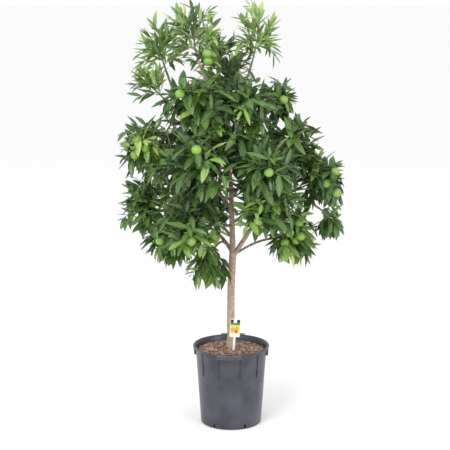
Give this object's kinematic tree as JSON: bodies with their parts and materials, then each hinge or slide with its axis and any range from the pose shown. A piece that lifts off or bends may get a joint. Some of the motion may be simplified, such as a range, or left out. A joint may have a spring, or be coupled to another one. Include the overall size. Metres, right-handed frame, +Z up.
{
  "type": "potted tree",
  "caption": "Potted standard citrus tree: a short bare trunk in a tapered nursery pot, forking into boughs that carry masses of glossy leaves with unripe round fruit.",
  "frame": {"origin": "middle of the pot's flat underside", "axes": "+Z up along the trunk, +X to the right of the tree's front, the front faces -Y"},
  "size_m": [0.966, 0.8749, 1.8005],
  "materials": {
    "black_plastic": "satin",
    "bark_compost": "matte",
    "label_card": "satin",
    "bark": "matte",
    "leaf": "satin"
  },
  "bodies": {
    "root": {"pot": "black_plastic", "soil": "bark_compost", "plant_label": "label_card", "trunk": "bark", "bough_top_left": "bark", "bough_top_middle": "bark", "bough_top_right": "bark", "bough_top_back": "bark", "bough_upper_middle": "bark", "bough_left_shoulder": "bark", "bough_upper_front": "bark", "bough_upper_right": "bark", "bough_right_shoulder": "bark", "bough_back_upper": "bark", "bough_left_middle": "bark", "bough_front_left": "bark", "bough_front_middle": "bark", "bough_front_right": "bark", "bough_right_middle": "bark", "bough_back_left": "bark", "bough_back_right": "bark", "bough_left_lower": "bark", "bough_right_outer": "bark", "bough_low_front_left": "bark", "bough_low_front_right": "bark", "bough_low_back_left": "bark", "bough_low_back_right": "bark", "bough_skirt_left": "bark", "bough_skirt_front": "bark", "bough_right_low": "bark", "bough_right_tail": "bark", "foliage_top_left": "leaf", "foliage_top_middle": "leaf", "foliage_top_right": "leaf", "foliage_top_back": "leaf", "foliage_upper_middle": "leaf", "foliage_left_shoulder": "leaf", "foliage_upper_front": "leaf", "foliage_upper_right": "leaf", "foliage_right_shoulder": "leaf", "foliage_back_upper": "leaf", "foliage_left_middle": "leaf", "foliage_front_left": "leaf", "foliage_front_middle": "leaf", "foliage_front_right": "leaf", "foliage_right_middle": "leaf", "foliage_back_left": "leaf", "foliage_back_right": "leaf", "foliage_left_lower": "leaf", "foliage_right_outer": "leaf", "foliage_low_front_left": "leaf", "foliage_low_front_right": "leaf", "foliage_low_back_left": "leaf", "foliage_low_back_right": "leaf", "foliage_skirt_left": "leaf", "foliage_skirt_front": "leaf", "foliage_right_low": "leaf", "foliage_right_tail": "leaf"}
  },
  "joints": []
}
